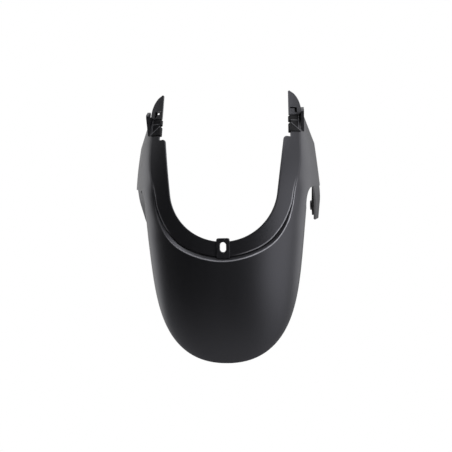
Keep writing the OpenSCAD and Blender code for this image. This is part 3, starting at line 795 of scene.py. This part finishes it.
def phosphated_steel():
    """Spring steel with a black phosphate coat, a salt and not a metal: a fine matt crystal that scatters
    light, thinner in patches, with highlights painted pale along the folds. Its crystals are microns across
    and are drawn 0.6 mm coarse."""
    material, tree, output = blank_material("black_phosphated_spring_steel")
    object_space = add(tree, "ShaderNodeTexCoord").outputs["Object"]
    crystal = add(tree, "ShaderNodeTexNoise", None,
                  {"Vector": object_space, "Scale": 1000 / 0.6, "Detail": 2.0})
    patch = add(tree, "ShaderNodeTexNoise", None,
                {"Vector": object_space, "Scale": 1000 / 9, "Detail": 3.0})
    colour = add(tree, "ShaderNodeMix", {"data_type": "RGBA"},
                 {0: patch.outputs["Fac"], 6: linear("#101012"), 7: linear("#1c1c1f")})
    # Painted highlight: the marked fold lines are mixed towards a pale grey
    painted_highlight = add(tree, "ShaderNodeAttribute", {"attribute_name": "painted_highlight"})
    colour = add(tree, "ShaderNodeMix", {"data_type": "RGBA"},
                 {0: painted_highlight.outputs["Fac"], 6: colour.outputs[2], 7: linear("#a6a6ac")}).outputs[2]
    rough = add(tree, "ShaderNodeMapRange", None,
                {"Value": patch.outputs["Fac"], "From Min": 0.3, "From Max": 0.7,
                 "To Min": 0.62, "To Max": 0.5})
    bump = add(tree, "ShaderNodeBump", None,
               {"Strength": 0.15, "Distance": 0.0002, "Height": crystal.outputs["Fac"]})
    shader = add(tree, "ShaderNodeBsdfPrincipled", None,
                 {"Base Color": colour, "Roughness": rough.outputs["Result"], "Specular IOR Level": 0.15,
                  "Normal": bump.outputs["Normal"]})
    tree.links.new(shader.outputs["BSDF"], output.inputs["Surface"])
    return material


spring_steel = phosphated_steel()
loop_gap_z = clip_low_z + loop_low_h + loop_gap_h
fold_z = np.concatenate([np.linspace(clip_low_z, clip_low_z + loop_low_h, 7),
                         np.linspace(loop_gap_z, clip_top_z, 5), [151.4, 154.6, 157.5]])

# The fold's half turn, cells 4 to 21 of a row, is cut away between the two loops and above them, where the
# back leaf alone goes on as the upright tab. The left tab has a window in it.
fold_keep = np.ones((len(fold_z) - 1, 22), bool)
fold_keep[6, 4:] = False
fold_keep[11:, 4:] = False
open_keep = fold_keep.copy()
open_keep[12, 1:4] = False

# The front leaf's rows follow the sloping fold, above which the leaf is raised
leaf_s = np.concatenate([np.linspace(0, 8, 9), [8.5, 9.0, 9.5, 10.0, 10.6, 11.2]])
slope = np.maximum(clip_slope_z - clip_slope * leaf_s, clip_low_z + 1)
leaf_low_z = clip_low_z + 0.2
leaf_z = np.concatenate([leaf_low_z + (slope - 0.5 - leaf_low_z) * np.linspace(0, 1, 4)[:, None],
                         slope + np.array([[0], [0.5]]),
                         slope + 0.5 + (leaf_fold_z - slope - 0.5) * np.linspace(0, 1, 6)[1:, None],
                         np.array([[137.9], [138.4], [141], [clip_top_z]]) + 0 * leaf_s])
leaf_out = clip_t + leaf_raised * (leaf_z > slope - 0.1)

# Painted highlight lines: the sloping fold, the level fold above it, and the two upright ones near the outer
# edge
leaf_painted_highlight = np.zeros((len(leaf_z), len(leaf_s), 1))
leaf_painted_highlight[4] = 0.55
leaf_painted_highlight[-4, :9] = 0.5
leaf_painted_highlight[5:, 9] = 0.5
leaf_painted_highlight[5:11, 12] = 0.35
for side, flip, kept, leaf_highlight in (("right", as_right, fold_keep, leaf_painted_highlight),
                               ("left", mirrored, open_keep[:, ::-1], leaf_painted_highlight[:, ::-1])):
    fold = [flip(clip_fold(fold_z[:, None], out)) for out in (clip_t, 0)]
    leaf = [flip(clip_leaf(leaf_z, leaf_s, out)) for out in (leaf_out, 0)]
    folded = plate(f"clip_fold_{side}", *fold, kept)
    for piece in (folded, plate(f"clip_leaf_{side}", *leaf, painted_highlight=leaf_highlight)):
        piece.data.materials.append(spring_steel)
        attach(piece, "root")
        eased_edges(piece, 0.15)
    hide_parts(f"clip_{side}")

# Studio: white air all round, a pale floor three quarters of a metre below the part, which hangs as it is
# fitted, and a grey curtain at the left front, which keeps the black plastic from turning pale. White shows
# to camera, glossy and transmission rays. The floor takes the part's shadow and pales to white at its rim.


def seen_share(tree, share):
    """A share for camera, glossy and transmission rays, and nothing for the others."""
    path = add(tree, "ShaderNodeLightPath")
    seen = add(tree, "ShaderNodeMath", {"operation": "MAXIMUM"},
               {0: path.outputs["Is Camera Ray"], 1: path.outputs["Is Glossy Ray"]})
    seen = add(tree, "ShaderNodeMath", {"operation": "MAXIMUM"},
               {0: seen.outputs[0], 1: path.outputs["Is Transmission Ray"]})
    kept = add(tree, "ShaderNodeMath", {"operation": "MULTIPLY"}, {0: seen.outputs[0], 1: share})
    return kept.outputs[0]


def stage_sheet(name, points, faces, material):
    """A sheet from its points in metres, marked as part of the stage."""
    mesh = bpy.data.meshes.new(name)
    mesh.from_pydata(points, [], faces)
    mesh.materials.append(material)
    piece = bpy.data.objects.new(name, mesh)
    bpy.context.collection.objects.link(piece)
    return piece


paper, tree, output = blank_material("white_paper")
matt = add(tree, "ShaderNodeBsdfDiffuse", None, {"Color": linear("#f4f4f4")})
white = add(tree, "ShaderNodeEmission", None, {"Color": (1, 1, 1, 1), "Strength": 1.0})
from_part = add(tree, "ShaderNodeVectorMath", {"operation": "LENGTH"},
                {0: add(tree, "ShaderNodeTexCoord").outputs["Object"]}).outputs["Value"]
share = add(tree, "ShaderNodeMapRange", None,
            {"Value": from_part, "From Min": 0.9, "From Max": 1.1, "To Min": 0.85, "To Max": 1.0})
mixed = add(tree, "ShaderNodeMixShader", None,
            {0: seen_share(tree, share.outputs["Result"]), 1: matt.outputs[0], 2: white.outputs[0]})
tree.links.new(mixed.outputs[0], output.inputs["Surface"])
floor_z = -0.75
floor_side = 1.7
floor_front = -0.8
floor_back = 1.3
stage_sheet("floor", [(-floor_side, floor_front, floor_z), (floor_side, floor_front, floor_z),
                      (floor_side, floor_back, floor_z), (-floor_side, floor_back, floor_z)],
            [(0, 1, 2, 3)], paper)

curtain_cloth, tree, output = blank_material("grey_curtain_cloth")
tree.links.new(add(tree, "ShaderNodeBsdfDiffuse", None, {"Color": linear("#545454")}).outputs[0],
               output.inputs["Surface"])
curtain_r = 1.7
curtain_low_z = -1.3
curtain_h = 4.3
folds = 30
hang = np.radians(np.linspace(-82, 23, folds))
hem = np.stack([curtain_r * np.sin(hang), -curtain_r * np.cos(hang), np.full(folds, curtain_low_z)], -1)
curtain = stage_sheet("curtain", np.concatenate([hem, hem + [0, 0, curtain_h]]).tolist(),
                      [(k, k + 1, k + folds + 1, k + folds) for k in range(folds - 1)], curtain_cloth)
curtain.visible_camera = False

world = bpy.data.worlds.new("studio_air")
bpy.context.scene.world = world
world.use_nodes = True
tree = world.node_tree
tree.nodes.clear()
dim = add(tree, "ShaderNodeBackground", None, {"Color": (1, 1, 1, 1), "Strength": 0.12})
white = add(tree, "ShaderNodeBackground", None, {"Color": (1, 1, 1, 1), "Strength": 1.0})
air = add(tree, "ShaderNodeMixShader", None,
          {0: seen_share(tree, 1.0), 1: dim.outputs[0], 2: white.outputs[0]})
add(tree, "ShaderNodeOutputWorld", None, {"Surface": air.outputs[0]})

# Lamps: tall soft boxes at the right, at the right front and at the left a little behind the part, and one
# above. Each is an area lamp that the camera doesn't see.


def soft_box(name, place_at, size, radiance):
    """A square area lamp in metres that faces the part, with its radiance turned to watts."""
    light = bpy.data.lights.new(name, "AREA")
    light.shape = "RECTANGLE"
    light.size, light.size_y = size
    light.energy = radiance * np.pi * size[0] * size[1]
    lamp = bpy.data.objects.new(name, light)
    bpy.context.collection.objects.link(lamp)
    away = Vector(place_at) - Vector((0, 0.04, 0.03))
    lamp.matrix_world = Matrix.Translation(place_at) @ away.to_track_quat("Z", "Y").to_matrix().to_4x4()
    lamp.visible_camera = False
    return lamp


soft_box("right_box", (1.33, 0.36, 0.3), (0.85, 1.5), 2.0)
soft_box("front_box", (1.15, -1.12, 0.1), (1.45, 1.7), 1.85)
soft_box("left_box", (-1.32, 0.47, 0.0), (0.8, 1.2), 1.3)
soft_box("top_box", (0.2, -0.4, 1.35), (1.0, 0.8), 3.6)

# Camera: level, 0.65 m from the part, turned 5.5 degrees to its right and rolled by 1.05 degrees, with its
# distance split into steps to the right, up and back
turned = np.radians(5.5)
rolled = np.radians(1.05)
rightward = Vector((np.cos(turned), np.sin(turned), 0))
forward = Vector((-np.sin(turned), np.cos(turned), 0))
upward = Vector((0, 0, 1))
camera_data = bpy.data.cameras.new("camera")
camera_data.lens = 49.305
camera_data.sensor_width = 36
camera = bpy.data.objects.new("camera", camera_data)
bpy.context.collection.objects.link(camera)
axes = [np.cos(rolled) * rightward - np.sin(rolled) * upward,
        np.sin(rolled) * rightward + np.cos(rolled) * upward, -forward]
stand = 0.00372 * rightward + 0.0222 * upward - 0.6482 * forward
camera.matrix_world = Matrix.Translation(stand) @ Matrix(axes).transposed().to_4x4()
bpy.context.scene.camera = camera
bpy.context.scene.view_settings.view_transform = "Standard"
